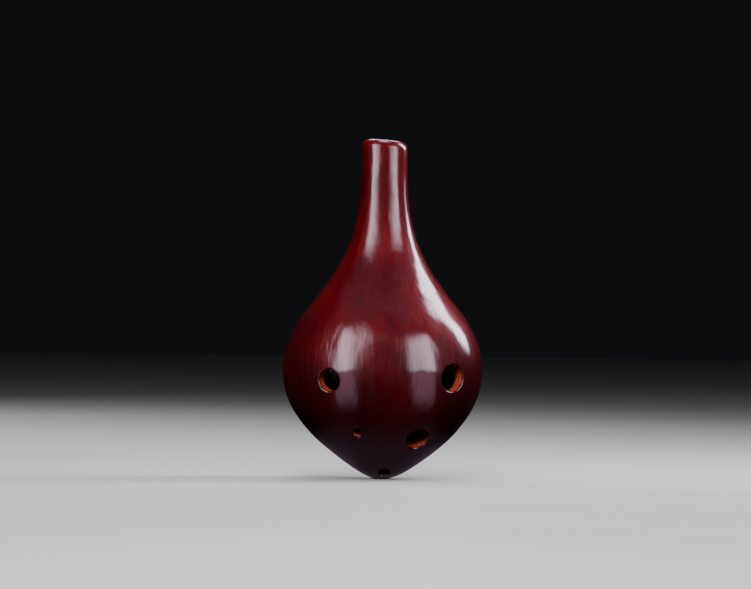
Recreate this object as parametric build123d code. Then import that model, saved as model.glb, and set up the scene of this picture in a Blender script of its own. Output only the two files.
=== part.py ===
from build123d import *
import os
from math import cos, radians, sin

# A vertical ocarina of fired clay: a teardrop chamber whose long neck is the mouthpiece.
# It is put together as such a body is before firing. Two pressed halves meet on the plane Y = 0.
# Two wads fill the neck and leave the windway between them. A wedge set in the back half is the labium.
# A solid plug closes the tail, and a V-shaped tunnel for the neck cord runs through it.
#
# Frame, in millimetres: +Z up through the mouthpiece, +X to the right, and the four finger holes face -Y.
# The origin is the lowest point of the tail. Every level section of the body is an ellipse.

# ---------------------------------------------------------------- driving dimensions
HEIGHT = 109.0  # tail to mouth end
WIDTH = 64.0  # widest, across X
DEPTH = 50.0  # thickest, along Y
WALL = 4.0  # chamber wall
NECK_WALL = 2.0  # wall round the windway wads
NECK_HALF_WIDTH = 7.45  # at the mouth end
MOUTH_ROUNDING = 2.7
FLATTEN = DEPTH / WIDTH  # depth over width of the outside
INNER_FLATTEN = (DEPTH - 2 * WALL) / (WIDTH - 2 * WALL)  # the same for the hollows

# Half the front outline from the tail to below the mouth end: (half-width, height).
OUTLINE = [
    (0, 0),
    (11.2, 4.9),
    (22.3, 13.7),
    (30.1, 25.3),
    (WIDTH / 2, 35.4),
    (29.0, 47.4),
    (22.0, 57.5),
    (15.1, 67.2),
    (9.7, 79.5),
    (7.85, 91.0),
    (NECK_HALF_WIDTH, HEIGHT - MOUTH_ROUNDING),
]
INSET_POINTS = 16  # points that carry the outline over to the hollows

# Windway: a flat channel that narrows and leans towards the labium.
WINDWAY_EXIT_Z = 75.5  # where it opens into the window
MOUTH_SLOT = {"width": 8.4, "floor": -1.5, "roof": 0.5}
EXIT_SLOT = {"width": 7.6, "floor": 3.6, "roof": 4.9}

# Sounding window and labium, in the back half.
WINDOW_WIDTH = 7.6
LABIUM_Z = 70.5  # height of the edge
LABIUM_Y = 5.1  # the edge stands in the middle of the jet
LABIUM_EDGE = 0.3  # thickness of the edge
LABIUM_FOOT_Z = 58.8  # where the wedge stands on the shell
RAMP_SLOPE = 1.0  # how far the outer ramp falls back for each millimetre down
UNDERCUT_SLOPE = 0.6  # the same for the face inside the chamber

# Holes, each drilled square to the surface: (x, height, diameter).
FRONT_HOLES = [
    (-17.1, 31.8, 7.2),
    (22.4, 32.8, 8.6),
    (-7.7, 15.2, 3.3),
    (11.5, 13.2, 8.0),
]
BACK_HOLES = [
    (-13.0, 38.5, 5.6),
    (13.0, 38.5, 6.4),
]
HOLE_RIM = 0.5  # rounding of a finger hole where it meets the outside
SMALL_HOLE = 4.0  # holes narrower than this have the small rim
SMALL_RIM = 0.35
INNER_RIM = 0.3
OVERSHOOT = 3.0  # how far a cutting form runs past what it cuts

# Tail plug: an elliptical cork with a domed inner end, as (half-width, height).
PLUG_FLANGE = (17.3, -0.7)
PLUG_SHOULDER = (9.8, 8.6)
PLUG_DOME_Z = 15.2
PLUG_DOME_SIDE = (7.2, 12.9)  # a point of the dome between the shoulder and the top

# Cord tunnel: two straight legs that meet inside the plug.
CORD_ELBOW = Vector(0.9, 0, 9.2)
CORD_TILT = 52.0  # degrees that each leg dips towards its mouth
CORD_LEG = 8.4  # from the elbow to the mouth
CORD_DIAMETER = 3.9


# ---------------------------------------------------------------- outline
def outline_curve():
    """Half the outline in the XZ plane, from the tail to the mouth rounding."""
    points = [(x, 0, z) for x, z in OUTLINE]
    return Spline(*points, tangents=[(1, 0, 0), (0, 0, 1)])


def inset_point(curve, t, wall):
    """The point that lies wall inside the outline at its parameter t."""
    point = curve @ t
    tangent = curve % t
    return Vector(point.X - wall * tangent.Z, 0, point.Z + wall * tangent.X)


def parameter_at(curve, z, wall=0.0):
    """The outline's parameter where its inset stands at height z."""
    low, high = 0.0, 1.0
    for _ in range(40):
        middle = (low + high) / 2
        if inset_point(curve, middle, wall).Z < z:
            low = middle
        else:
            high = middle
    return (low + high) / 2


def inset_curve(curve, wall, z_low, z_high):
    """The outline moved inwards by wall, between two heights."""
    start = parameter_at(curve, z_low, wall)
    end = parameter_at(curve, z_high, wall)
    step = (end - start) / (INSET_POINTS - 1)
    parameters = [start + i * step for i in range(INSET_POINTS)]
    points = [inset_point(curve, t, wall) for t in parameters]
    return Spline(*points, tangents=[curve % start, curve % end])


def surface_point(curve, x, z, side):
    """(point, outward normal) of the outside at x and z, on the side of that sign of Y."""
    t = parameter_at(curve, z)
    tangent = curve % t
    half_width = (curve @ t).X
    y = side * FLATTEN * (half_width**2 - x**2) ** 0.5
    slope = half_width * tangent.X / tangent.Z
    normal = Vector(x, y / FLATTEN**2, -slope).normalized()
    return Vector(x, y, z), normal


# ---------------------------------------------------------------- turned forms
def turned(edges, flatten, arc=360.0):
    """Edges in the XZ plane turned about Z from +X through +Y, then flattened along Y."""
    path = Wire(edges)
    start = path @ 0
    end = path @ 1
    corners = [(end.X, 0, end.Z), (0, 0, end.Z), (0, 0, start.Z), (start.X, 0, start.Z)]
    sides = [Line(a, b) for a, b in zip(corners, corners[1:]) if a != b]
    face = Face(Wire([*edges, *sides]))
    return scale(revolve(face, Axis.Z, arc), by=(1, flatten, 1))


def outside(curve, arc=360.0):
    """The outside form as a solid, with its rounded mouth end."""
    centre = Vector(NECK_HALF_WIDTH - MOUTH_ROUNDING, 0, HEIGHT - MOUTH_ROUNDING)
    middle = centre + Vector(cos(radians(45)), 0, sin(radians(45))) * MOUTH_ROUNDING
    top = centre + Vector(0, 0, MOUTH_ROUNDING)
    return turned([curve, ThreePointArc(curve @ 1, middle, top)], FLATTEN, arc)


def chamber(curve):
    """The hollow of the chamber, up to the exit of the windway."""
    return turned([inset_curve(curve, WALL, WALL, WINDWAY_EXIT_Z)], INNER_FLATTEN)


def neck_bore(curve):
    """The bore above the chamber that the two wads fill."""
    side = inset_curve(curve, NECK_WALL, WINDWAY_EXIT_Z, HEIGHT - MOUTH_ROUNDING)
    top = side @ 1
    rest = Line(top, (top.X, 0, HEIGHT + OVERSHOOT))
    return turned([side, rest], INNER_FLATTEN)


def plug_space():
    """All the room that the tail plug takes, past the outside as well."""
    shoulder = (PLUG_SHOULDER[0], 0, PLUG_SHOULDER[1])
    flank = Line((PLUG_FLANGE[0], 0, PLUG_FLANGE[1]), shoulder)
    dome_side = (PLUG_DOME_SIDE[0], 0, PLUG_DOME_SIDE[1])
    dome = Spline(shoulder, dome_side, (0, 0, PLUG_DOME_Z), tangents=[(0, 0, 1), (-1, 0, 0)])
    return turned([flank, dome], FLATTEN)


# ---------------------------------------------------------------- holes
def drill(point, direction, diameter, length):
    """A cylinder centred on a point, lying along a direction."""
    plane = Plane(origin=point, z_dir=direction)
    return plane * Cylinder(diameter / 2, length)


def rim_edges(solid, point, direction, diameter):
    """The edges of a drilled hole: (those round its outer mouth, the rest)."""
    outer, inner = [], []
    for edge in solid.edges():
        offsets = [edge @ t - point for t in (0, 0.25, 0.5, 0.75)]
        depths = [offset.dot(direction) for offset in offsets]
        radii = [(offset - direction * depth).length for offset, depth in zip(offsets, depths)]
        if max(abs(radius - diameter / 2) for radius in radii) > 0.01:
            continue
        if min(depths) > -WALL / 2:
            outer.append(edge)
        else:
            inner.append(edge)
    return outer, inner


def drill_finger_hole(shell, curve, hole, side):
    """A shell with one round hole through it, its rims rounded."""
    x, z, diameter = hole
    point, normal = surface_point(curve, x, z, side)
    shell = shell - drill(point, normal, diameter, 2 * (WALL + OVERSHOOT))
    outer, inner = rim_edges(shell, point, normal, diameter)
    rim = SMALL_RIM if diameter < SMALL_HOLE else HOLE_RIM
    shell = fillet(outer, rim)
    outer, inner = rim_edges(shell, point, normal, diameter)
    return fillet(inner, INNER_RIM)


# ---------------------------------------------------------------- nodes
def shell_half(curve, side, holes):
    """One pressed half with its share of the hollows and its holes."""
    half = outside(curve, 180)
    if side < 0:
        half = mirror(half, Plane.XZ)
    half = half - chamber(curve) - neck_bore(curve) - plug_space()
    for hole in holes:
        half = drill_finger_hole(half, curve, hole, side)
    return half


def window_notch():
    """The box that the sounding window and the labium take out of the back half."""
    height = WINDWAY_EXIT_Z - LABIUM_FOOT_Z
    corner = Pos(0, 0, LABIUM_FOOT_Z)
    return corner * Box(WINDOW_WIDTH, DEPTH, height, align=(Align.CENTER, Align.MIN, Align.MIN))


def labium(curve):
    """The wedge whose thin upper edge splits the jet."""
    drop = LABIUM_Z - LABIUM_FOOT_Z
    outer_y = LABIUM_Y + LABIUM_EDGE / 2
    inner_y = LABIUM_Y - LABIUM_EDGE / 2
    corners = [
        (outer_y, LABIUM_Z),
        (outer_y + RAMP_SLOPE * drop, LABIUM_FOOT_Z),
        (inner_y + UNDERCUT_SLOPE * drop, LABIUM_FOOT_Z),
        (inner_y, LABIUM_Z),
    ]
    side = Face(Wire.make_polygon([(0, y, z) for y, z in corners]))
    wedge = extrude(side, WINDOW_WIDTH / 2, dir=(1, 0, 0), both=True)
    return wedge & outside(curve)


def slot_at(slot, z):
    """A windway section, level at height z."""
    half = slot["width"] / 2
    corners = [
        (-half, slot["floor"], z),
        (half, slot["floor"], z),
        (half, slot["roof"], z),
        (-half, slot["roof"], z),
    ]
    return Wire.make_polygon(corners)


def slot_past(share):
    """A windway section on the straight run from the exit to the mouth, share of the way along."""
    section = {}
    for key in MOUTH_SLOT:
        section[key] = EXIT_SLOT[key] + (MOUTH_SLOT[key] - EXIT_SLOT[key]) * share
    return section


def windway():
    """The air of the windway, run on past both of its ends."""
    length = HEIGHT - WINDWAY_EXIT_Z
    past = OVERSHOOT / length
    low = slot_at(slot_past(-past), WINDWAY_EXIT_Z - OVERSHOOT)
    high = slot_at(slot_past(1 + past), HEIGHT + OVERSHOOT)
    return Solid.make_loft([low, high], ruled=True)


def in_front_of_floor():
    """All the room in front of the sloping plane of the windway's floor."""
    length = HEIGHT - WINDWAY_EXIT_Z
    past = OVERSHOOT / length
    low, high = WINDWAY_EXIT_Z - OVERSHOOT, HEIGHT + OVERSHOOT
    corners = [
        (0, -DEPTH, low),
        (0, slot_past(-past)["floor"], low),
        (0, slot_past(1 + past)["floor"], high),
        (0, -DEPTH, high),
    ]
    return extrude(Face(Wire.make_polygon(corners)), WIDTH, dir=(1, 0, 0), both=True)


def windway_floor(curve):
    """The front wad, whose sloping face is the floor of the windway."""
    return neck_bore(curve) & outside(curve) & in_front_of_floor()


def windway_roof(curve):
    """The back wad, with the windway channelled in its face."""
    return (neck_bore(curve) & outside(curve)) - in_front_of_floor() - windway()


def cord_direction(side):
    """The way one leg of the cord tunnel leaves the plug, on the side of that sign of Y."""
    return Vector(0, side * cos(radians(CORD_TILT)), -sin(radians(CORD_TILT)))


def cord_leg(side):
    """One leg of the cord tunnel, from the elbow out past the surface."""
    plane = Plane(origin=CORD_ELBOW, z_dir=cord_direction(side))
    centred = (Align.CENTER, Align.CENTER, Align.MIN)
    return plane * Cylinder(CORD_DIAMETER / 2, 2 * CORD_ELBOW.Z, align=centred)


def tail_plug(curve):
    """The solid cork of the tail, tunnelled for the cord."""
    elbow = Pos(CORD_ELBOW) * Sphere(CORD_DIAMETER / 2)
    plug = (outside(curve) & plug_space()) - cord_leg(-1) - cord_leg(1) - elbow
    for side in (-1, 1):
        direction = cord_direction(side)
        mouth = CORD_ELBOW + direction * CORD_LEG
        outer, _ = rim_edges(plug, mouth, direction, CORD_DIAMETER)
        plug = fillet(outer, SMALL_RIM)
    return plug


def main():
    curve = outline_curve()
    nodes = {
        "front_shell": shell_half(curve, -1, FRONT_HOLES),
        "back_shell": shell_half(curve, 1, BACK_HOLES) - window_notch(),
        "labium": labium(curve),
        "windway_floor": windway_floor(curve),
        "windway_roof": windway_roof(curve),
        "tail_plug": tail_plug(curve),
    }
    os.makedirs("parts", exist_ok=True)
    for name, node in nodes.items():
        box = node.bounding_box()
        print(name, len(node.solids()), round(node.volume, 1), node.is_valid, box)
        export_step(node, f"parts/{name}.step")


main()
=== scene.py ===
import bpy
import bmesh
import math
import numpy as np
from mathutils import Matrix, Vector
from mathutils.geometry import delaunay_2d_cdt


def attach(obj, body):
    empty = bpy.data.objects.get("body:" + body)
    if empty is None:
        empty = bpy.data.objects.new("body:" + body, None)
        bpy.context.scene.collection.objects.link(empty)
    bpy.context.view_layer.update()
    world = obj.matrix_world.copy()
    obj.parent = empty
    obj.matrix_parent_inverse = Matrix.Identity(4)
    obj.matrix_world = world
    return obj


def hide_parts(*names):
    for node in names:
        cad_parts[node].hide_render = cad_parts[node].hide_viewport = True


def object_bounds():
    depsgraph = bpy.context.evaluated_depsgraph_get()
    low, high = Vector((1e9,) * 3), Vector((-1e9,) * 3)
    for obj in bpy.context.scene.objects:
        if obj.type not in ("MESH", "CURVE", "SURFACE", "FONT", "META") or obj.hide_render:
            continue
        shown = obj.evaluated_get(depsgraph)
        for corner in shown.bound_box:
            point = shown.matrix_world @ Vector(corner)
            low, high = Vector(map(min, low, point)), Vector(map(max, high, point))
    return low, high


# The glazed body of a vertical ocarina, built round its CAD frame.
# Both shell halves and the tail plug are rebuilt as fine meshes, with soft hole rims and a worked surface.
# The windway wads are softened copies of their CAD shapes, and the labium keeps its CAD shape.
# Shapes are worked out in millimetres and made in metres. Materials and the studio are in metres.

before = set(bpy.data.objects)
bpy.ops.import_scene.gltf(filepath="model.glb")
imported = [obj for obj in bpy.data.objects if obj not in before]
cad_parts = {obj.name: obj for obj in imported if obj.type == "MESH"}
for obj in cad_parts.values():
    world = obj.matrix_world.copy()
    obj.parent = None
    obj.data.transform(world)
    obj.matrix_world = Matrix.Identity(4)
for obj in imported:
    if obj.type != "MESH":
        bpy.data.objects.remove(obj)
CAD_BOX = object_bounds()
MM = 0.001

# ---------------------------------------------------------------- the body's dimensions, as in the CAD
HEIGHT = 109.0
WIDTH = 64.0
DEPTH = 50.0
WALL = 4.0
NECK_WALL = 2.0
NECK_HALF_WIDTH = 7.45
MOUTH_ROUNDING = 2.7
FLATTEN = DEPTH / WIDTH
INNER_FLATTEN = (DEPTH - 2 * WALL) / (WIDTH - 2 * WALL)
NECK_TOP = HEIGHT - MOUTH_ROUNDING
MOUTH_CORNER = NECK_HALF_WIDTH - MOUTH_ROUNDING  # half-width of the centre of the mouth's rounding
OUTLINE = [
    (0, 0),
    (11.2, 4.9),
    (22.3, 13.7),
    (30.1, 25.3),
    (WIDTH / 2, 35.4),
    (29.0, 47.4),
    (22.0, 57.5),
    (15.1, 67.2),
    (9.7, 79.5),
    (7.85, 91.0),
    (NECK_HALF_WIDTH, NECK_TOP),
]
WINDOW_TOP = 75.5
WINDOW_HALF_WIDTH = 3.8
LABIUM_FOOT = 58.8
FRONT_HOLES = [(-17.1, 31.8, 7.2), (22.4, 32.8, 8.6), (-7.7, 15.2, 3.3), (11.5, 13.2, 8.0)]
BACK_HOLES = [(-13.0, 38.5, 5.6), (13.0, 38.5, 6.4)]
PLUG_FLANGE = (17.3, -0.7)
PLUG_SHOULDER = (9.8, 8.6)
PLUG_DOME = [PLUG_SHOULDER, (7.2, 12.9), (0, 15.2)]
CORD_ELBOW = (0.9, 0.0, 9.2)
CORD_TILT = math.radians(52.0)
CORD_LEG = 8.4
CORD_DIAMETER = 3.9

# ---------------------------------------------------------------- finish of the clay
RIM = 0.5  # rounding of a finger hole's outer rim
SMALL_HOLE = 4.0
SMALL_RIM = 0.35
INNER_RIM = 0.3
WINDOW_RIM = 0.35
WINDOW_RIM_START = (60.8, 62.6)  # heights over which the window's side rim grows, above the labium's foot
NO_RIM = 0.01  # stands in for no rim, so that its points stay apart
SLOT_LIP = 0.4  # rounding of the windway's mouth
MOUTH_TILT = 0.075  # how far the mouth end falls for each millimetre to the right of its left edge
TILT_START = (94.0, 106.0)  # heights over which that fall sets in

# ---------------------------------------------------------------- how bare the clay is: 0 glazed, 1 bare
RIM_BARE = 0.12  # where a hole's outer rim meets its bore
BORE_BARE = 0.5  # added over the first millimetre of a finger hole's bore
INWARD_BARE = 0.2  # added by its inner end
INNER_RIM_BARE = 0.85  # where a bore meets its inner rim
CORD_BARE = 0.6  # added over the first part of the cord's tunnel
CORD_BARE_SHARE = 0.3  # that part, as a share of the leg
WINDOW_RIM_BARE = 0.35
WINDOW_WALL_BARE = 0.8

# ---------------------------------------------------------------- mesh density
PER_SPAN = 60  # samples on each span of the outline
ROWS_TO_FOOT = 116
ROWS_OF_WINDOW = 30
ROWS_OF_NECK = 46
ROWS_OF_MOUTH = 8
SIDE_COLUMNS = 60
BAND_COLUMNS = 16
ROUND = 72  # points round a hole
BORE_ROWS = 12
CORD_ROWS = 14
PLUG_ROWS = 20
PLUG_COLUMNS = 120
DOME_STEP = 10  # the plug's dome takes every tenth sample of its outline
HOLE_MARGIN = 0.9  # how far outside a hole's rim its patch begins
HOLE_REACH = 5.0  # how far along a hole's axis the surface that it cuts can lie
SLIDES = 12  # steps to slide a point on to a surface
HALVINGS = 40  # steps to find a crossing
SLOPE_STEP = 0.01  # half the height over which an outline's slope is taken
RIM_STEP = 0.1  # how far outside a hole's rim the skin's slope is taken
TOUCHING = 1e-7  # points closer than this are one when a patch is filled
SHELL_SHARP = math.radians(42)  # edges steeper than this stay sharp
WAD_SHARP = math.radians(35)


def unit(v):
    return v / np.linalg.norm(v, axis=-1, keepdims=True)


def ease(low, high, x):
    """A smooth rise from 0 at low to 1 at high."""
    t = np.clip((x - low) / (high - low), 0, 1)
    return t * t * (3 - 2 * t)


# ---------------------------------------------------------------- outlines
def spline(points, start, end):
    """Dense samples of a smooth curve through points, with a unit tangent at each end."""
    p = np.array(points, float)
    h = np.linalg.norm(np.diff(p, axis=0), axis=1)
    system = np.eye(len(p))
    wanted = np.zeros_like(p)
    wanted[0], wanted[-1] = start, end
    for i in range(1, len(p) - 1):
        before, after = h[i - 1], h[i]
        system[i, i - 1 : i + 2] = after, 2 * (before + after), before
        chords = after * (p[i] - p[i - 1]) / before + before * (p[i + 1] - p[i]) / after
        wanted[i] = 3 * chords
    m = np.linalg.solve(system, wanted)
    samples = []
    for i, step in enumerate(h):
        for t in np.arange(PER_SPAN) / PER_SPAN:
            place = (2 * t**3 - 3 * t**2 + 1) * p[i] + (3 * t**2 - 2 * t**3) * p[i + 1]
            pull = (t**3 - 2 * t**2 + t) * m[i] + (t**3 - t**2) * m[i + 1]
            samples.append(place + pull * step)
    return np.array([*samples, p[-1]])


class Outline:
    """Half an outline, (half-width, height), that is turned about Z and flattened along Y."""

    def __init__(self, samples, flatten):
        self.r, self.z = samples.T
        steps = np.linalg.norm(np.diff(samples, axis=0), axis=1)
        self.s = np.concatenate([[0], np.cumsum(steps)])
        self.tangent = np.gradient(samples, self.s, axis=0)
        self.flatten = flatten

    def length_at(self, z):
        return np.interp(z, self.z, self.s)

    def at(self, s):
        return np.interp(s, self.s, self.r), np.interp(s, self.s, self.z)

    def radius(self, z):
        return np.interp(z, self.z, self.r)

    def place(self, r, z, phi):
        """The points at half-width r and height z, phi round from +X."""
        return np.stack([r * np.cos(phi), self.flatten * r * np.sin(phi), z + 0 * phi], axis=-1)

    def normal(self, p):
        """The outward normals at points of the surface."""
        s = self.length_at(p[..., 2])
        out = np.interp(s, self.s, self.tangent[:, 1])
        down = np.interp(s, self.s, self.tangent[:, 0])
        round_r = np.hypot(p[..., 0], p[..., 1] / self.flatten) + 1e-9
        x = out * p[..., 0] / round_r
        y = out * p[..., 1] / (self.flatten**2 * round_r)
        return unit(np.stack([x, y, -down], axis=-1))

    def hit(self, p, direction):
        """Slides points along a direction until they are on the surface."""
        p = np.array(p, float)
        for _ in range(SLIDES):
            x, y, z = p[..., 0], p[..., 1], p[..., 2]
            round_r = np.hypot(x, y / self.flatten)
            slope = (self.radius(z + SLOPE_STEP) - self.radius(z - SLOPE_STEP)) / (2 * SLOPE_STEP)
            gradient = np.stack([x / round_r, y / (self.flatten**2 * round_r), -slope], axis=-1)
            miss = round_r - self.radius(z)
            p = p - (miss / (gradient @ direction))[..., None] * direction
        return p


def inset(samples, wall):
    """Samples of an outline moved inwards by wall."""
    tangent = unit(np.gradient(samples, axis=0))
    return samples + wall * np.stack([-tangent[:, 1], tangent[:, 0]], axis=1)


def between(samples, low, high):
    """The stretch of an outline between two heights, ends included."""
    z = samples[:, 1]
    keep = samples[(z > low + 1e-6) & (z < high - 1e-6)]
    ends = [(np.interp(h, z, samples[:, 0]), h) for h in (low, high)]
    return np.array([ends[0], *keep, ends[1]])


def mouth_arc():
    """Samples of the mouth's rounding, from just above the neck to the flat top."""
    turn = np.radians(np.arange(1.5, 90.1, 1.5))
    r = MOUTH_CORNER + MOUTH_ROUNDING * np.cos(turn)
    return np.stack([r, NECK_TOP + MOUTH_ROUNDING * np.sin(turn)], axis=1)


SAMPLES = spline(OUTLINE, (1, 0), (0, 1))
OUTSIDE = Outline(np.vstack([SAMPLES, mouth_arc()]), FLATTEN)
CHAMBER = Outline(between(inset(SAMPLES, WALL), WALL, WINDOW_TOP), INNER_FLATTEN)
BORE = Outline(between(inset(SAMPLES, NECK_WALL), WINDOW_TOP, NECK_TOP), INNER_FLATTEN)


def crossing(outline, start, end):
    """Where the line from start to end crosses an outline, as (half-width, height)."""
    low, high = 0.0, 1.0
    start, end = np.array(start), np.array(end)
    for _ in range(HALVINGS):
        t = (low + high) / 2
        r, z = start + (end - start) * t
        if r > outline.radius(z):
            low = t
        else:
            high = t
    return start + (end - start) * t


# ---------------------------------------------------------------- the hand-worked surface
WAVES = [  # (wave vector in turns per millimetre, phase, height in millimetres)
    ((0.021, 0.013, 0.008), 0.3, 0.11),
    ((-0.015, 0.024, 0.017), 1.9, 0.09),
    ((0.034, -0.020, 0.011), 4.1, 0.055),
    ((0.012, 0.037, -0.027), 2.6, 0.05),
    ((0.058, 0.045, 0.010), 5.2, 0.022),
    ((-0.072, 0.050, 0.013), 0.8, 0.016),
    ((0.115, 0.035, 0.016), 3.3, 0.020),
    ((-0.087, 0.098, 0.024), 1.1, 0.015),
]
CALM_MOUTH = (98.0, 106.0)  # heights over which the waves die out
CALM_WIDTH = (5.0, 9.0)  # how far from the window's middle they begin and are full, across
CALM_HEIGHT = (10.0, 15.0)  # the same upwards and downwards
CALM_MIDDLE = 67.0
CALM_DEPTH = (0.0, 3.0)  # the same from the middle of the body to its back
TANGENT_HINT = (0.13, 0.21, 0.97)  # a direction to start a pair of tangents from
TANGENT_STEP = 0.05  # how far along each the waves' slope is taken


def unevenness(p):
    """How far the worked surface stands out of the true form, in millimetres; calm at mouth and window."""
    height = sum(a * np.sin(2 * np.pi * (p @ np.array(k)) + phase) for k, phase, a in WAVES)
    from_mouth = 1 - ease(*CALM_MOUTH, p[..., 2])
    beside = ease(*CALM_WIDTH, np.abs(p[..., 0]))
    above_or_below = ease(*CALM_HEIGHT, np.abs(p[..., 2] - CALM_MIDDLE))
    in_front = 1 - ease(*CALM_DEPTH, p[..., 1])
    from_window = np.maximum(np.maximum(beside, above_or_below), in_front)
    return height * from_mouth * from_window


def worked(p):
    """Points of the true outside, moved to the worked surface: (points, normals)."""
    normal = OUTSIDE.normal(p)
    across = unit(np.cross(normal, TANGENT_HINT))
    along = np.cross(normal, across)
    tilt = np.zeros_like(p)
    for side in (across, along):
        step = side * TANGENT_STEP
        rise = (unevenness(p + step) - unevenness(p - step)) / (2 * TANGENT_STEP)
        tilt = tilt + rise[..., None] * side
    return p + unevenness(p)[..., None] * normal, unit(normal - tilt)


def tilted(p):
    """Points of the finished body, its mouth end cut a little out of square."""
    fall = MOUTH_TILT * (p[:, 0] + MOUTH_CORNER) * ease(*TILT_START, p[:, 2])
    return p - fall[:, None] * np.array([0, 0, 1])


def tilted_normals(p, normals):
    """Normals to go with the tilted points; no normal stays none."""
    lean = MOUTH_TILT * ease(*TILT_START, p[:, 2]) * normals[:, 2]
    turned = normals + lean[:, None] * np.array([1, 0, 0])
    return turned / np.maximum(np.linalg.norm(turned, axis=1, keepdims=True), 1e-9)


# ---------------------------------------------------------------- mesh building
class Clay:
    """Collects one piece's points and faces, in millimetres, and makes its object."""

    def __init__(self):
        self.points = np.zeros((0, 3))
        self.normals = np.zeros((0, 3))
        self.bare = np.zeros(0)
        self.faces = {"skin": [], "lining": [], "joint": []}

    def add(self, points, normals=None, bare=0.0):
        """Adds points of any shape and returns their indices in the same shape."""
        flat = points.reshape(-1, 3)
        start = len(self.points)
        self.points = np.vstack([self.points, flat])
        given = np.zeros_like(flat) if normals is None else normals.reshape(-1, 3)
        self.normals = np.vstack([self.normals, given])
        self.bare = np.concatenate([self.bare, np.broadcast_to(bare, points.shape[:-1]).ravel()])
        return np.arange(start, len(self.points)).reshape(points.shape[:-1])

    def quads(self, group, grid):
        """Faces between the neighbours of a grid of indices."""
        corners = (grid[:-1, :-1], grid[:-1, 1:], grid[1:, 1:], grid[1:, :-1])
        made = np.stack([c.ravel() for c in corners], axis=1)
        self.faces[group] += [tuple(dict.fromkeys(f)) for f in made.tolist()]

    def ring_quads(self, group, rings):
        """Faces between closed rings of indices."""
        self.quads(group, np.concatenate([rings, rings[:, :1]], axis=1))

    def open_round(self, group, centre, axis, radius):
        """Takes a group's faces away round an axis and returns the loop left round the gap."""
        offset = self.points - centre
        depth = offset @ axis
        aside = np.linalg.norm(offset - depth[:, None] * axis, axis=1)
        near = (aside < radius) & (np.abs(depth) < HOLE_REACH)
        gone = [f for f in self.faces[group] if near[list(f)].any()]
        self.faces[group] = [f for f in self.faces[group] if not near[list(f)].any()]
        edges = {(a, b) for f in gone for a, b in zip(f, (*f[1:], f[0]))}
        follows = {a: b for a, b in edges if (b, a) not in edges}
        loop = [next(iter(sorted(follows)))]
        while follows[loop[-1]] != loop[0]:
            loop.append(follows[loop[-1]])
        return np.array(loop)

    def patch(self, group, loop, ring, centre, u, v):
        """Triangles between a gap's loop and a round ring inside it."""
        indices = np.concatenate([loop, ring])
        flat = [Vector((q @ u, q @ v)) for q in self.points[indices] - centre]
        turns = [(i, (i + 1) % len(loop)) for i in range(len(loop))]
        turns += [(len(loop) + i, len(loop) + (i + 1) % len(ring)) for i in range(len(ring))]
        _, _, triangles, sources, _, _ = delaunay_2d_cdt(flat, turns, [], 0, TOUCHING)
        for triangle in triangles:
            corners = [sources[c][0] for c in triangle]
            middle = sum((flat[c] for c in corners), Vector((0, 0))) / 3
            if min(corners) < len(loop) and inside(middle, flat[: len(loop)]):
                self.faces[group].append(tuple(int(indices[c]) for c in corners))

    def make(self, name):
        """The piece as one smooth object in metres."""
        faces = [f for group in self.faces.values() for f in group if len(f) > 2]
        skin_count = len([f for f in self.faces["skin"] if len(f) > 2])
        mesh = bpy.data.meshes.new(name)
        mesh.from_pydata((tilted(self.points) * MM).tolist(), [], faces)
        skin = mesh.attributes.new("skin", "INT", "FACE")
        skin.data.foreach_set("value", np.arange(len(faces)) < skin_count)
        bare = mesh.attributes.new("bare", "FLOAT", "POINT")
        bare.data.foreach_set("value", self.bare)
        shape = mesh.attributes.new("shape", "FLOAT_VECTOR", "POINT")
        shape.data.foreach_set("vector", tilted_normals(self.points, self.normals).ravel())
        clean(mesh)
        shade(mesh)
        return link(bpy.data.objects.new(name, mesh))


def inside(point, polygon):
    """Whether a flat point is inside a polygon."""
    hit = False
    for a, b in zip(polygon, [*polygon[1:], polygon[0]]):
        if (a.y > point.y) != (b.y > point.y):
            if point.x < (b.x - a.x) * (point.y - a.y) / (b.y - a.y) + a.x:
                hit = not hit
    return hit


def clean(mesh):
    """Drops unused points and turns every face outwards."""
    bm = bmesh.new()
    bm.from_mesh(mesh)
    loose = [v for v in bm.verts if not v.link_faces]
    bmesh.ops.delete(bm, geom=loose, context="VERTS")
    bmesh.ops.recalc_face_normals(bm, faces=bm.faces)
    open_edges = sum(not e.is_manifold for e in bm.edges)
    if open_edges:
        print(mesh.name, "has open edges:", open_edges)
    bm.to_mesh(mesh)
    bm.free()


def shade(mesh):
    """Smooth shading, with the skin's own normals where they are known."""
    mesh.polygons.foreach_set("use_smooth", [True] * len(mesh.polygons))
    mesh.set_sharp_from_angle(angle=SHELL_SHARP)
    skin = np.zeros(len(mesh.polygons), int)
    mesh.attributes["skin"].data.foreach_get("value", skin)
    shape = np.zeros(len(mesh.vertices) * 3)
    mesh.attributes["shape"].data.foreach_get("vector", shape)
    starts = np.zeros(len(mesh.polygons), int)
    mesh.polygons.foreach_get("loop_start", starts)
    corners = np.zeros(len(mesh.loops), int)
    mesh.loops.foreach_get("vertex_index", corners)
    sizes = np.diff([*starts, len(mesh.loops)])
    normals = shape.reshape(-1, 3)[corners] * np.repeat(skin, sizes)[:, None]
    mesh.normals_split_custom_set(normals.tolist())
    mesh.attributes.remove(mesh.attributes["shape"])
    mesh.attributes.remove(mesh.attributes["skin"])


def link(obj):
    bpy.context.scene.collection.objects.link(obj)
    return obj


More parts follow.
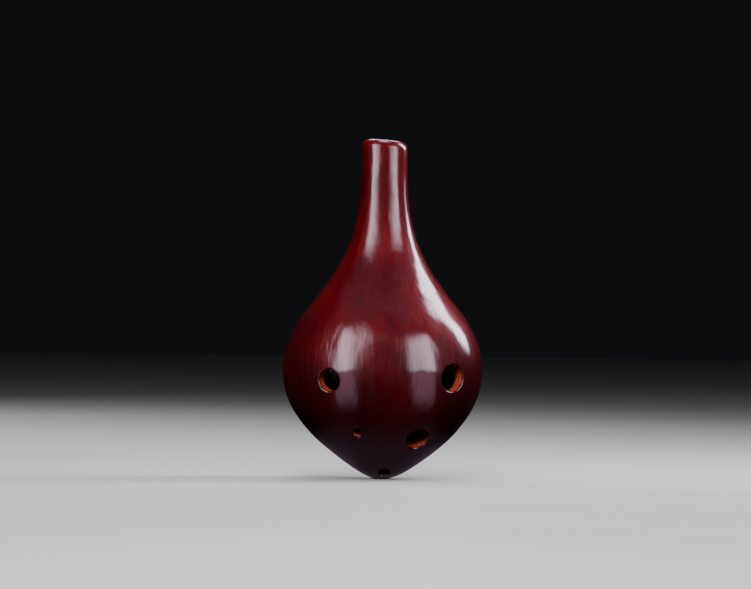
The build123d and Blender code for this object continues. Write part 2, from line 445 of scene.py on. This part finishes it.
# ---------------------------------------------------------------- shell halves
FOOT_ROW = ROWS_TO_FOOT
LEDGE_ROW = ROWS_TO_FOOT + ROWS_OF_WINDOW  # the top of the chamber, level with the window's top
LEFT, RIGHT = SIDE_COLUMNS + BAND_COLUMNS, SIDE_COLUMNS  # the columns beside the window
RUNS = (ROWS_TO_FOOT, ROWS_OF_WINDOW, ROWS_OF_NECK)  # rows of the outside between its levels
RIM_TURNS = np.radians([0, 22.5, 45, 67.5, 90])


def window_rim(z):
    """The rounding of the sounding window's side at a height: none where the labium lies flush."""
    return NO_RIM + (WINDOW_RIM - NO_RIM) * ease(*WINDOW_RIM_START, z)


def columns(r, band):
    """Angles round one half: evenly spaced, but for an upright band of that half-width."""
    edge = np.arccos(band / r)
    side = edge * np.arange(SIDE_COLUMNS) / SIDE_COLUMNS
    middle = np.arccos(np.linspace(band, -band, BAND_COLUMNS + 1) / r)
    return np.concatenate([side, middle, np.pi - side[::-1]])


def mouth_row(phi, share):
    """A row of the mouth's rounding, share of the way from the neck to the bore's edge."""
    squeeze = INNER_FLATTEN / FLATTEN
    edge_r = BORE.r[-1] * np.hypot(np.cos(phi), squeeze * np.sin(phi))
    edge_phi = np.arctan2(squeeze * np.sin(phi), np.cos(phi))
    turn = share * np.arccos((edge_r - MOUTH_CORNER) / MOUTH_ROUNDING)
    r = MOUTH_CORNER + MOUTH_ROUNDING * np.cos(turn)
    z = NECK_TOP + MOUTH_ROUNDING * np.sin(turn)
    return OUTSIDE.place(r, z, phi + (edge_phi - phi) * share)


def outside_rows(seat):
    """The outside of one half from the plug's edge to the edge of the neck's bore."""
    levels = [seat[1], LABIUM_FOOT, WINDOW_TOP + WINDOW_RIM, NECK_TOP]
    s = [OUTSIDE.length_at(z) for z in levels]
    runs = [np.linspace(a, b, n + 1)[1:] for a, b, n in zip(s, s[1:], RUNS)]
    rows = []
    for length in [s[0], *np.concatenate(runs)]:
        r, z = OUTSIDE.at(length)
        rows.append(OUTSIDE.place(r, z, columns(r, WINDOW_HALF_WIDTH + window_rim(z))))
    phi = columns(NECK_HALF_WIDTH, WINDOW_HALF_WIDTH + WINDOW_RIM)
    rows += [mouth_row(phi, share) for share in np.arange(1, ROWS_OF_MOUTH + 1) / ROWS_OF_MOUTH]
    return np.array(rows)


def inside_rows(lip, mouth_edge):
    """The hollows of one half, from the plug to just under the edge of the neck's bore."""
    levels = [lip[1], LABIUM_FOOT, WINDOW_TOP]
    s = [CHAMBER.length_at(z) for z in levels]
    runs = [np.linspace(a, b, n + 1)[1:] for a, b, n in zip(s, s[1:], RUNS)]
    rows = []
    for length in [s[0], *np.concatenate(runs)]:
        r, z = CHAMBER.at(length)
        rows.append(CHAMBER.place(r, z, columns(r, WINDOW_HALF_WIDTH)))
    low_phi = columns(BORE.r[0], WINDOW_HALF_WIDTH)
    high_phi = columns(NECK_HALF_WIDTH, WINDOW_HALF_WIDTH + WINDOW_RIM)
    bore_rows = ROWS_OF_NECK + ROWS_OF_MOUTH - 1
    for share in np.arange(bore_rows) / bore_rows:
        z = WINDOW_TOP + (mouth_edge[:, 2] - WINDOW_TOP) * share
        rows.append(BORE.place(BORE.radius(z), z, low_phi + (high_phi - low_phi) * share))
    return np.array(rows)


def shell_half(name, side, holes):
    """One pressed half, on the side of that sign of Y."""
    clay = Clay()
    seat = crossing(OUTSIDE, PLUG_FLANGE, PLUG_SHOULDER)
    lip = crossing(CHAMBER, seat, PLUG_SHOULDER)
    flip = np.array([1, side, 1])
    true_outer = outside_rows(seat)
    outer_points, outer_normals = worked(true_outer * flip)
    inner_points = inside_rows(lip, true_outer[-1]) * flip
    outer = clay.add(outer_points, outer_normals)
    inner = clay.add(inner_points, bare=1.0)
    inner = np.vstack([inner, outer[-1:]])
    if side < 0:
        clay.quads("skin", outer)
        clay.quads("lining", inner)
    else:
        for group, grid, last in (("skin", outer, LEDGE_ROW), ("lining", inner, LEDGE_ROW + 1)):
            clay.quads(group, grid[: FOOT_ROW + 1])
            clay.quads(group, grid[FOOT_ROW : last + 1, : RIGHT + 1])
            clay.quads(group, grid[FOOT_ROW : last + 1, LEFT:])
            clay.quads(group, grid[last:])
        window(clay, outer, inner)
    clay.quads("joint", np.stack([outer[0], inner[0]]))
    for edge in (0, -1):
        clay.quads("joint", np.stack([outer[:, edge], inner[:, edge]]))
    for x, z, diameter in holes:
        y = side * FLATTEN * math.sqrt(OUTSIDE.radius(z) ** 2 - x**2)
        point = np.array([x, y, z])
        rim = SMALL_RIM if diameter < SMALL_HOLE else RIM
        finger_hole(clay, point, OUTSIDE.normal(point), diameter / 2, rim)
    return clay.make(name)


def window(clay, outer, inner):
    """The walls of the sounding window in the back half, with their rounded rims."""
    sides = {}
    for column, sign in ((RIGHT, 1), (LEFT, -1)):
        sides[sign] = window_side(clay, outer[:, column], inner[:, column], sign)
    middle = slice(RIGHT, LEFT + 1)
    window_head(clay, outer[LEDGE_ROW, middle], inner[LEDGE_ROW + 1, middle], sides)
    window_foot(clay, outer[FOOT_ROW, middle], inner[FOOT_ROW, middle], sides)


def window_side(clay, outer, inner, sign):
    """One upright wall of the window, and its grid of indices from the foot up."""
    turns = RIM_TURNS[1:]
    rows = []
    for row in range(FOOT_ROW, LEDGE_ROW + 1):
        at_ledge = row == LEDGE_ROW
        start, end = clay.points[outer[row]], clay.points[inner[row]]
        rim = abs(start[0]) - WINDOW_HALF_WIDTH
        x = sign * (WINDOW_HALF_WIDTH + rim * (1 - np.sin(turns)))
        y = start[1] - rim * (1 - np.cos(turns))
        z = start[2] - rim * at_ledge * np.sin(turns)
        made = clay.add(np.stack([x, y, z], axis=1), bare=np.sin(turns) * WINDOW_RIM_BARE)
        if at_ledge:
            halfway = inner[LEDGE_ROW + 1]
        else:
            halfway = clay.add((clay.points[made[-1:]] + end) / 2, bare=WINDOW_WALL_BARE)[0]
        rows.append([outer[row], *made, halfway, inner[row]])
    grid = np.array(rows)
    clay.quads("joint", grid)
    return grid


def window_head(clay, across, ledge, sides):
    """The upper wall of the window, its rim rounded into both sides."""
    start = clay.points[across[1:-1]]
    rows = [across]
    for k, turn in enumerate(RIM_TURNS[1:], start=1):
        half_width = WINDOW_HALF_WIDTH + WINDOW_RIM * (1 - np.sin(turn))
        narrow = half_width / (WINDOW_HALF_WIDTH + WINDOW_RIM)
        drop = np.array([0, WINDOW_RIM * (1 - np.cos(turn)), WINDOW_RIM * np.sin(turn)])
        made = clay.add(start * (narrow, 1, 1) - drop, bare=np.sin(turn) * WINDOW_RIM_BARE)
        rows.append(np.array([sides[1][-1, k], *made, sides[-1][-1, k]]))
    rows.append(ledge)
    clay.quads("joint", np.array(rows))


def window_foot(clay, low_out, low_in, sides):
    """The lower wall of the window, which the labium's foot meets."""
    start, end = clay.points[low_out[1:-1]], clay.points[low_in[1:-1]]
    last = sides[1].shape[1] - 1
    rows = [low_out]
    for k in range(1, last):
        share = k / last
        made = clay.add(start * (1 - share) + end * share, bare=1.0)
        rows.append(np.array([sides[1][0, k], *made, sides[-1][0, k]]))
    rows.append(low_in)
    clay.quads("joint", np.array(rows))


# ---------------------------------------------------------------- round holes
def frame_round(axis):
    """Two unit vectors square to an axis."""
    u = unit(np.cross(axis, (0.0, 0.0, 1.0)))
    return u, np.cross(axis, u)


def spokes(u, v):
    """Unit vectors all round, from u towards v."""
    turn = 2 * np.pi * np.arange(ROUND) / ROUND
    return np.outer(np.cos(turn), u) + np.outer(np.sin(turn), v)


def outer_rings(clay, point, axis, radius, rim):
    """Opens the skin round a hole and patches it up to the rounded rim.

    Returns the rings of indices from the skin to the bore, the spokes that they follow, how high the bore
    starts on each spoke, and how far the worked surface has moved it.
    """
    u, v = frame_round(axis)
    spoke = spokes(u, v)
    start = OUTSIDE.hit(point + (radius + rim) * spoke, axis)
    further = OUTSIDE.hit(point + (radius + rim + RIM_STEP) * spoke, axis)
    height = (start - point) @ axis
    slope = ((further - point) @ axis - height) / RIM_STEP
    moved, normals = worked(start)
    ring = clay.add(moved, normals)
    loop = clay.open_round("skin", point, axis, radius + rim + HOLE_MARGIN)
    clay.patch("skin", loop, ring, point, u, v)
    shift = moved - start
    rings = [ring]
    for t in RIM_TURNS[1:]:
        out = radius + rim * (1 - np.sin(t))
        level = height - slope * rim * np.sin(t) - rim * (1 - np.cos(t))
        points = point + out * spoke + level[:, None] * axis + shift
        rings.append(clay.add(points, bare=RIM_BARE * np.sin(t) ** 2))
    return rings, spoke, height - slope * rim - rim, shift


def finger_hole(clay, point, axis, radius, rim):
    """A round hole through the wall, its rims rounded and its bore thinly glazed."""
    rings, spoke, top, shift = outer_rings(clay, point, axis, radius, rim)
    u, v = frame_round(axis)
    below = point - axis * WALL
    landing = CHAMBER.hit(below + (radius + INNER_RIM) * spoke, axis)
    bottom = (landing - point) @ axis + INNER_RIM
    for share in np.arange(1, BORE_ROWS + 1) / BORE_ROWS:
        level = top + (bottom - top) * share
        points = point + radius * spoke + level[:, None] * axis + shift * (1 - share)
        depth = share * (WALL - rim - INNER_RIM)
        bare = RIM_BARE + BORE_BARE * ease(0.0, 1.0, depth) + INWARD_BARE * share
        rings.append(clay.add(points, bare=bare))
    for t in RIM_TURNS[1:]:
        out = radius + INNER_RIM * (1 - np.cos(t))
        level = bottom - INNER_RIM * np.sin(t)
        bare = INNER_RIM_BARE + (1 - INNER_RIM_BARE) * np.sin(t)
        rings.append(clay.add(point + out * spoke + level[:, None] * axis, bare=bare))
    clay.ring_quads("joint", np.array(rings))
    loop = clay.open_round("lining", below, axis, radius + INNER_RIM + HOLE_MARGIN)
    clay.patch("lining", loop, rings[-1], below, u, v)


# ---------------------------------------------------------------- tail plug
def tail_plug(name):
    """The cork of the tail: a polar cap outside, a cone, a dome inside and the cord's tunnel."""
    clay = Clay()
    seat = crossing(OUTSIDE, PLUG_FLANGE, PLUG_SHOULDER)
    phi = 2 * np.pi * np.arange(PLUG_COLUMNS) / PLUG_COLUMNS
    rows = []
    for length in OUTSIDE.length_at(seat[1]) * np.arange(1, PLUG_ROWS + 1) / PLUG_ROWS:
        r, z = OUTSIDE.at(length)
        rows.append(OUTSIDE.place(r, z, phi))
    points, normals = worked(np.array(rows))
    cap = clay.add(points, normals)
    tip_point, _ = worked(np.zeros((1, 3)))
    tip = clay.add(tip_point, np.array([[0.0, 0.0, -1.0]]))
    cap = np.vstack([np.repeat(tip, PLUG_COLUMNS)[None], cap])
    clay.ring_quads("skin", cap)
    dome = spline(PLUG_DOME, (0, 1), (-1, 0))[::DOME_STEP]
    flank = [seat + (np.array(PLUG_SHOULDER) - seat) * share for share in (0.25, 0.5, 0.75)]
    inner = [OUTSIDE.place(r, z, phi) for r, z in [*flank, *dome[:-1]]]
    inner = clay.add(np.array(inner), bare=1.0)
    top = clay.add(np.array([[0.0, 0.0, dome[-1][1]]]), bare=1.0)
    rest = np.vstack([cap[-1:], inner, np.repeat(top, PLUG_COLUMNS)[None]])
    clay.ring_quads("joint", rest)
    mitre = None
    for side in (-1, 1):
        mitre = cord_leg(clay, side, mitre)
    return clay.make(name)


def cord_leg(clay, side, mitre):
    """One leg of the cord's tunnel, from its rounded mouth to the mitre at Y = 0.

    The first leg makes the mitre's ring, and the second ends on it. Returns that ring for the other leg.
    """
    axis = np.array([0.0, side * math.cos(CORD_TILT), -math.sin(CORD_TILT)])
    elbow = np.array(CORD_ELBOW)
    point = OUTSIDE.hit((elbow + axis * CORD_LEG)[None], axis)[0]
    radius = CORD_DIAMETER / 2
    rings, spoke, top, shift = outer_rings(clay, point, axis, radius, SMALL_RIM)
    start = point + radius * spoke + top[:, None] * axis
    reach = -start[:, 1] / axis[1]
    for step in range(1, CORD_ROWS + (mitre is None)):
        share = step / CORD_ROWS
        points = start + (reach * share)[:, None] * axis + shift * (1 - share)
        rings.append(clay.add(points, bare=RIM_BARE + CORD_BARE * ease(0.0, CORD_BARE_SHARE, share)))
    if mitre is not None:
        rings.append(mitre)
    clay.ring_quads("joint", np.array(rings))
    return match_mitre(clay, rings[-1], axis)


def match_mitre(clay, ring, axis):
    """The mitre's ring in the order in which the other leg's spokes meet it."""
    mirrored = axis * (1, -1, 1)
    wanted = spokes(*frame_round(mirrored))
    offset = clay.points[ring] - np.array(CORD_ELBOW)
    offset = offset - (offset @ mirrored)[:, None] * mirrored
    return ring[np.argmax(unit(wanted) @ unit(offset).T, axis=1)]


# ---------------------------------------------------------------- windway wads
SLOT = (4.3, -1.6, 0.6)  # bounds of the windway's mouth: half-width, lowest and highest Y
SLOT_DEPTH = 0.05  # how far below the mouth end an edge still counts as the slot's
LIP_STEPS = 4
MERGE = 0.001  # points closer than this are one
FLAT = math.radians(0.1)  # faces that meet at less than this are one flat


def windway_wad(name, node):
    """A wad of the windway: its CAD shape, the mouth of the slot rounded, tilted with the mouth end."""
    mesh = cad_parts[node].data.copy()
    mesh.name = name
    bm = bmesh.new()
    bm.from_mesh(mesh)
    bmesh.ops.remove_doubles(bm, verts=bm.verts, dist=MERGE * MM)
    bmesh.ops.dissolve_limit(bm, angle_limit=FLAT, verts=bm.verts, edges=bm.edges)
    half_width, front, back = SLOT

    def at_mouth(v):
        x, y, z = v.co / MM
        return abs(x) < half_width and front < y < back and z > HEIGHT - SLOT_DEPTH

    lip = [e for e in bm.edges if all(at_mouth(v) for v in e.verts)]
    bmesh.ops.bevel(bm, geom=lip, offset=SLOT_LIP * MM, segments=LIP_STEPS, profile=0.5, affect="EDGES")
    bmesh.ops.remove_doubles(bm, verts=bm.verts, dist=MERGE * MM)
    bmesh.ops.triangulate(bm, faces=bm.faces)
    points = np.array([v.co for v in bm.verts]) / MM
    for v, p in zip(bm.verts, tilted(points)):
        v.co = p * MM
    bm.to_mesh(mesh)
    bm.free()
    mesh.polygons.foreach_set("use_smooth", [True] * len(mesh.polygons))
    mesh.set_sharp_from_angle(angle=WAD_SHARP)
    return link(bpy.data.objects.new(name, mesh))


front_shell = shell_half("front_shell_clay", -1, FRONT_HOLES)
back_shell = shell_half("back_shell_clay", 1, BACK_HOLES)
plug = tail_plug("tail_plug_clay")
floor_wad = windway_wad("windway_floor_clay", "windway_floor")
roof_wad = windway_wad("windway_roof_clay", "windway_roof")
PIECES = {
    "front_shell": front_shell,
    "back_shell": back_shell,
    "tail_plug": plug,
    "windway_floor": floor_wad,
    "windway_roof": roof_wad,
}
for node, piece in PIECES.items():
    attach(piece, "root")
    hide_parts(node)


# ---------------------------------------------------------------- materials
class Nodes:
    """A short way to write a node tree: each call adds a node and links its inputs."""

    def __init__(self, tree):
        self.tree = tree

    def add(self, kind, inputs=None, **settings):
        node = self.tree.nodes.new(kind)
        for key, value in settings.items():
            setattr(node, key, value)
        for key, value in (inputs or {}).items():
            self.feed(node.inputs[key], value)
        return node

    def feed(self, socket, value):
        if isinstance(value, bpy.types.NodeSocket):
            self.tree.links.new(value, socket)
        else:
            socket.default_value = value

    def span(self, value, low, high, to_low=0.0, to_high=1.0, kind="SMOOTHSTEP"):
        inputs = {"Value": value, "From Min": low, "From Max": high, "To Min": to_low, "To Max": to_high}
        return self.add("ShaderNodeMapRange", inputs, interpolation_type=kind).outputs["Result"]

    def maths(self, operation, a, b=0.0):
        node = self.add("ShaderNodeMath", operation=operation)
        self.feed(node.inputs[0], a)
        self.feed(node.inputs[1], b)
        return node.outputs[0]


class Surface(Nodes):
    """A material on the Principled shader, with its patterns placed in the object's own space."""

    def __init__(self, name):
        self.material = bpy.data.materials.new(name)
        self.material.use_nodes = True
        super().__init__(self.material.node_tree)
        self.shader = self.tree.nodes["Principled BSDF"]
        self.place = self.add("ShaderNodeTexCoord").outputs["Object"]

    def attribute(self, name):
        return self.add("ShaderNodeAttribute", attribute_name=name).outputs["Fac"]

    def scaled(self, x, y, z):
        return self.add("ShaderNodeMapping", {"Vector": self.place, "Scale": (x, y, z)}).outputs["Vector"]

    def noise(self, scale, detail=3.0, roughness=0.5, place=None):
        inputs = {"Vector": place or self.place, "Scale": scale, "Detail": detail, "Roughness": roughness}
        return self.add("ShaderNodeTexNoise", inputs).outputs["Fac"]

    def voronoi(self, scale):
        inputs = {"Vector": self.place, "Scale": scale}
        return self.add("ShaderNodeTexVoronoi", inputs).outputs["Distance"]

    def mix(self, share, a, b):
        node = self.add("ShaderNodeMix", data_type="RGBA")
        self.feed(node.inputs[0], share)
        self.feed(node.inputs[6], a)
        self.feed(node.inputs[7], b)
        return node.outputs[2]

    def bump(self, height, strength, distance, normal=None):
        inputs = {"Height": height, "Strength": strength, "Distance": distance}
        if normal is not None:
            inputs["Normal"] = normal
        return self.add("ShaderNodeBump", inputs).outputs["Normal"]

    def finish(self, **sockets):
        """The material, with the shader's sockets set by name, a space written as an underscore."""
        for name, value in sockets.items():
            self.feed(self.shader.inputs[name.replace("_", " ")], value)
        return self.material


def rgb(r, g, b):
    return (r, g, b, 1.0)


MAROON = rgb(0.080, 0.0009, 0.0066)
DEEP = rgb(0.016, 0.0003, 0.0014)
RED = rgb(0.180, 0.0014, 0.0052)
AMBER = rgb(0.95, 0.30, 0.11)
BROWN = rgb(0.46, 0.075, 0.024)
COAT = rgb(0.66, 0.45, 0.50)
TERRACOTTA = rgb(0.30, 0.115, 0.052)
SHADED_CLAY = rgb(0.19, 0.068, 0.030)
THINNING = (0.08, 0.34)  # how bare the glaze is where it begins to turn amber and where it has
BARING = (0.74, 0.96)  # the same for bare clay
PAINTED_TAIL_SHADE = (0.006, 0.052)  # heights over which the painted shade darkening the tail fades out
GLAZE_EDGE = 0.0012  # over how much height a wad's glaze ends
WAD_GLAZED = 0.9  # how far down from the mouth end a wad is glazed, in millimetres
RELIEF = 0.0003  # depth of the glaze's fine texture
RIPPLE = 0.0008  # depth of its slow ripples


def glaze(name, bare_below=None):
    """Maroon gloss glaze, thin and amber in the bores, with bare clay inside or below a height, and painted
    shade toward the tail.
    """
    n = Surface(name)
    height = n.add("ShaderNodeSeparateXYZ", {"Vector": n.place}).outputs["Z"]
    if bare_below is None:
        bare = n.attribute("bare")
    else:
        bare = n.span(height, bare_below - GLAZE_EDGE, bare_below, 1.0, 0.0)
    cloud = n.noise(45.0, 2.0, 0.5)
    mottle = n.noise(700.0, 4.0, 0.65)
    patches = n.noise(380.0, 3.0, 0.6)
    streaks = n.noise(520.0, 2.0, 0.5, place=n.scaled(1.0, 1.0, 0.09))
    brushed = n.noise(1000.0, 2.0, 0.5, place=n.scaled(1.0, 1.0, 0.11))
    ripple = n.noise(105.0, 2.0, 0.5, place=n.scaled(1.0, 1.0, 0.6))
    pinhole = n.span(n.voronoi(90.0), 0.014, 0.026, 1.0, 0.0)
    colour = n.mix(n.span(cloud, 0.34, 0.68), MAROON, RED)
    colour = n.mix(n.span(patches, 0.40, 0.75, 0.0, 0.25), colour, RED)
    colour = n.mix(n.span(mottle, 0.42, 0.72, 0.0, 0.40), colour, DEEP)
    colour = n.mix(n.span(streaks, 0.50, 0.78, 0.0, 0.14), colour, DEEP)
    colour = n.mix(n.maths("MULTIPLY", pinhole, 0.7), colour, DEEP)
    # Painted shade: the glaze is darkened toward the tail, where less light falls, not a change in the glaze
    # itself.
    colour = n.mix(n.span(height, *PAINTED_TAIL_SHADE, 0.72, 0.0), colour, DEEP)
    thin = n.mix(n.span(n.noise(900.0, 4.0, 0.7), 0.40, 0.62), BROWN, AMBER)
    clay = n.mix(n.span(patches, 0.3, 0.7), TERRACOTTA, SHADED_CLAY)
    colour = n.mix(n.span(bare, *THINNING), colour, thin)
    colour = n.mix(n.span(bare, *BARING), colour, clay)
    dull = n.span(bare, *BARING, 0.0, 0.5)
    sheen = n.span(streaks, 0.3, 0.7, 0.34, 0.48)
    relief = n.maths("ADD", n.maths("MULTIPLY", mottle, 0.22), n.maths("MULTIPLY", streaks, 0.8))
    relief = n.maths("ADD", relief, n.maths("MULTIPLY", brushed, 1.3))
    relief = n.maths("SUBTRACT", relief, pinhole)
    peel = n.bump(relief, 0.34, RELIEF)
    skin = n.bump(relief, 0.07, RELIEF, n.bump(ripple, 0.5, RIPPLE))
    return n.finish(Base_Color=colour, Roughness=n.maths("ADD", sheen, dull), Normal=peel,
                    Coat_Weight=1.0, Coat_Roughness=0.12, Coat_IOR=1.5, Coat_Normal=skin,
                    Coat_Tint=COAT, Specular_IOR_Level=0.3, IOR=1.45)


def cut_clay(name):
    """The labium's scraped face under a thin coat of glaze."""
    n = Surface(name)
    scrape = n.noise(900.0, 3.0, 0.6, place=n.scaled(1.0, 0.12, 0.12))
    cloud = n.noise(260.0, 3.0, 0.55)
    colour = n.mix(n.span(cloud, 0.35, 0.68), MAROON, BROWN)
    colour = n.mix(n.span(scrape, 0.45, 0.75, 0.0, 0.6), colour, DEEP)
    roughness = n.span(scrape, 0.3, 0.7, 0.34, 0.55)
    return n.finish(Base_Color=colour, Roughness=roughness, Normal=n.bump(scrape, 0.5, RELIEF),
                    Coat_Weight=0.35, Coat_Roughness=0.25, Coat_IOR=1.5, Specular_IOR_Level=0.25)


def floor_material():
    """Pale paper."""
    n = Surface("studio_floor")
    paper = n.noise(8.0, 3.0, 0.5)
    colour = n.mix(n.span(paper, 0.3, 0.7), rgb(0.58, 0.634, 0.56), rgb(0.62, 0.676, 0.60))
    return n.finish(Base_Color=colour, Roughness=0.32, Normal=n.bump(paper, 0.05, 0.001))


GLAZE = glaze("maroon_glaze")
WAD_GLAZE = glaze("wad_glaze", bare_below=(HEIGHT - WAD_GLAZED) * MM)
MATERIALS = {
    front_shell: GLAZE,
    back_shell: GLAZE,
    plug: GLAZE,
    floor_wad: WAD_GLAZE,
    roof_wad: WAD_GLAZE,
    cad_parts["labium"]: cut_clay("cut_clay"),
}
for piece, material in MATERIALS.items():
    piece.data.materials.clear()
    piece.data.materials.append(material)

# ---------------------------------------------------------------- floor, light and camera
FLOOR_LEVEL = CAD_BOX[0][2]
CENTRE = (Vector(CAD_BOX[0]) + Vector(CAD_BOX[1])) / 2
FLOOR_HALF_SIZE = 3.0


def floor():
    """The pale floor. It neither shows in the glaze nor lights it, so that the dark glaze stays dark."""
    mesh = bpy.data.meshes.new("floor")
    bm = bmesh.new()
    bmesh.ops.create_grid(bm, x_segments=8, y_segments=8, size=FLOOR_HALF_SIZE)
    bm.to_mesh(mesh)
    bm.free()
    obj = link(bpy.data.objects.new("floor", mesh))
    obj.location.z = FLOOR_LEVEL
    mesh.materials.append(floor_material())
    obj.visible_glossy = False
    obj.visible_diffuse = False


CARD_LIFT = 0.0005  # of a card above the floor
EVEN = (0.32, 0.32, 0.32, 0.32)  # shares of a panel's sides over which it brightens: left, right, bottom, top
CARD_FADES = (0.32, 0.32, 0.10, 0.02)
COOL = (0.95, 0.865, 1.0)
VIOLET = (1.0, 0.68, 0.95)


def fade_edges(lamp, left, right, bottom, top, taper):
    """Dims a panel toward its sides, as a cloth front does; taper is its bottom's width over its top's."""
    lamp.use_nodes = True
    n = Nodes(lamp.node_tree)
    parametric = n.add("ShaderNodeNewGeometry").outputs["Parametric"]
    split = n.add("ShaderNodeSeparateXYZ", {"Vector": parametric})
    across, up = split.outputs["X"], split.outputs["Y"]
    if taper < 1.0:
        share = n.span(up, 0.0, 1.0, taper, 1.0, "LINEAR")
        across = n.maths("ADD", n.maths("DIVIDE", n.maths("SUBTRACT", across, 0.5), share), 0.5)
    sides = n.maths("MULTIPLY", n.span(across, 0.0, left), n.span(across, 1.0, 1.0 - right))
    ends = n.maths("MULTIPLY", n.span(up, 0.0, bottom), n.span(up, 1.0, 1.0 - top))
    n.feed(n.tree.nodes["Emission"].inputs["Strength"], n.maths("MULTIPLY", sides, ends))


def panel(name, width, height, power, colour, fades, taper):
    """A bright panel with soft edges that the camera can't see."""
    lamp = bpy.data.lights.new(name, "AREA")
    lamp.shape = "RECTANGLE"
    lamp.size, lamp.size_y = width, height
    lamp.energy = power
    lamp.color = colour
    fade_edges(lamp, *fades, taper)
    obj = link(bpy.data.objects.new(name, lamp))
    obj.visible_camera = False
    return obj


def softbox(name, azimuth, elevation, distance, width, height, power, fades=EVEN, colour=COOL, taper=1.0):
    """A soft panel that faces the body, azimuth to the right of the front; angles in degrees."""
    obj = panel(name, width, height, power, colour, fades, taper)
    a, e = math.radians(azimuth), math.radians(elevation)
    way = Vector((math.sin(a) * math.cos(e), -math.cos(a) * math.cos(e), math.sin(e)))
    obj.location = CENTRE + way * distance
    obj.rotation_euler = way.to_track_quat("Z", "Y").to_euler()
    return obj


def card(name, azimuth, near, far, width, power, fades=CARD_FADES):
    """A panel that lies on the floor, from near to far off the body's axis, and only makes reflections."""
    obj = panel(name, width, far - near, power, VIOLET, fades, near / far if near > 0 else 1.0)
    a = math.radians(azimuth)
    way = Vector((math.sin(a), -math.cos(a), 0.0))
    obj.location = way * (near + far) / 2 + Vector((0, 0, FLOOR_LEVEL + CARD_LIFT))
    obj.rotation_euler = (math.pi, 0.0, a)
    obj.visible_diffuse = False
    return obj


floor()
# Each has its azimuth, elevation and distance, then its width, height and power.
only_mirrored = [
    softbox("front_left", -34, 21, 0.52, 0.40, 0.52, 7.6, (0.30, 0.70, 0.10, 0.34)),
    softbox("front_right", 37, 18, 0.52, 0.42, 0.44, 6.3, (0.68, 0.26, 0.10, 0.34)),
    softbox("shoulder_haze", -12, 78, 0.60, 1.30, 0.52, 0.50, EVEN, VIOLET),
]
for obj in only_mirrored:
    obj.visible_diffuse = False
fills = [
    softbox("front_fill", -4, 34, 0.90, 0.40, 0.40, 19.0),
    softbox("overhead_fill", -12, 66, 0.80, 0.50, 0.40, 5.0),
    softbox("back_left_fill", -135, 22, 0.90, 0.50, 0.50, 9.0),
]
for obj in fills:
    obj.visible_glossy = False
softbox("right_side", 106, 33, 0.36, 0.22, 0.34, 6.2, taper=0.35)
softbox("back", 178, 50, 0.60, 0.50, 0.25, 4.0)
softbox("top", 80, 88, 0.50, 0.20, 0.20, 2.0)
# Each has its azimuth, its near and far end, its width and its power.
card("left_card", -35, 0.038, 0.50, 0.27, 0.60)
card("right_card", 39, 0.038, 0.50, 0.26, 0.58)
card("tail_card", 0, -0.04, 0.035, 0.08, 0.003, EVEN)

BACKDROP = (0.007, 0.007, 0.008, 1)
world = bpy.data.worlds.new("studio")
bpy.context.scene.world = world
world.use_nodes = True
backdrop = world.node_tree.nodes["Background"]
backdrop.inputs["Color"].default_value = BACKDROP
backdrop.inputs["Strength"].default_value = 1.0

VIEW_DISTANCE = 1.5
VIEW_WIDTH = 0.2408  # what the picture takes in across, at the body's axis
VIEW_OFFSET = (-0.0025, 0.0, 0.0046)  # from the body's centre to the picture's
VIEW_ROLL = -0.65  # degrees
camera = bpy.data.cameras.new("camera")
camera.sensor_width = 36.0
camera.lens = camera.sensor_width * VIEW_DISTANCE / VIEW_WIDTH
camera.clip_start = 0.05
view = link(bpy.data.objects.new("camera", camera))
view.location = CENTRE + Vector(VIEW_OFFSET) + Vector((0, -VIEW_DISTANCE, 0))
view.rotation_euler = (math.radians(90), math.radians(VIEW_ROLL), 0)
bpy.context.scene.camera = view
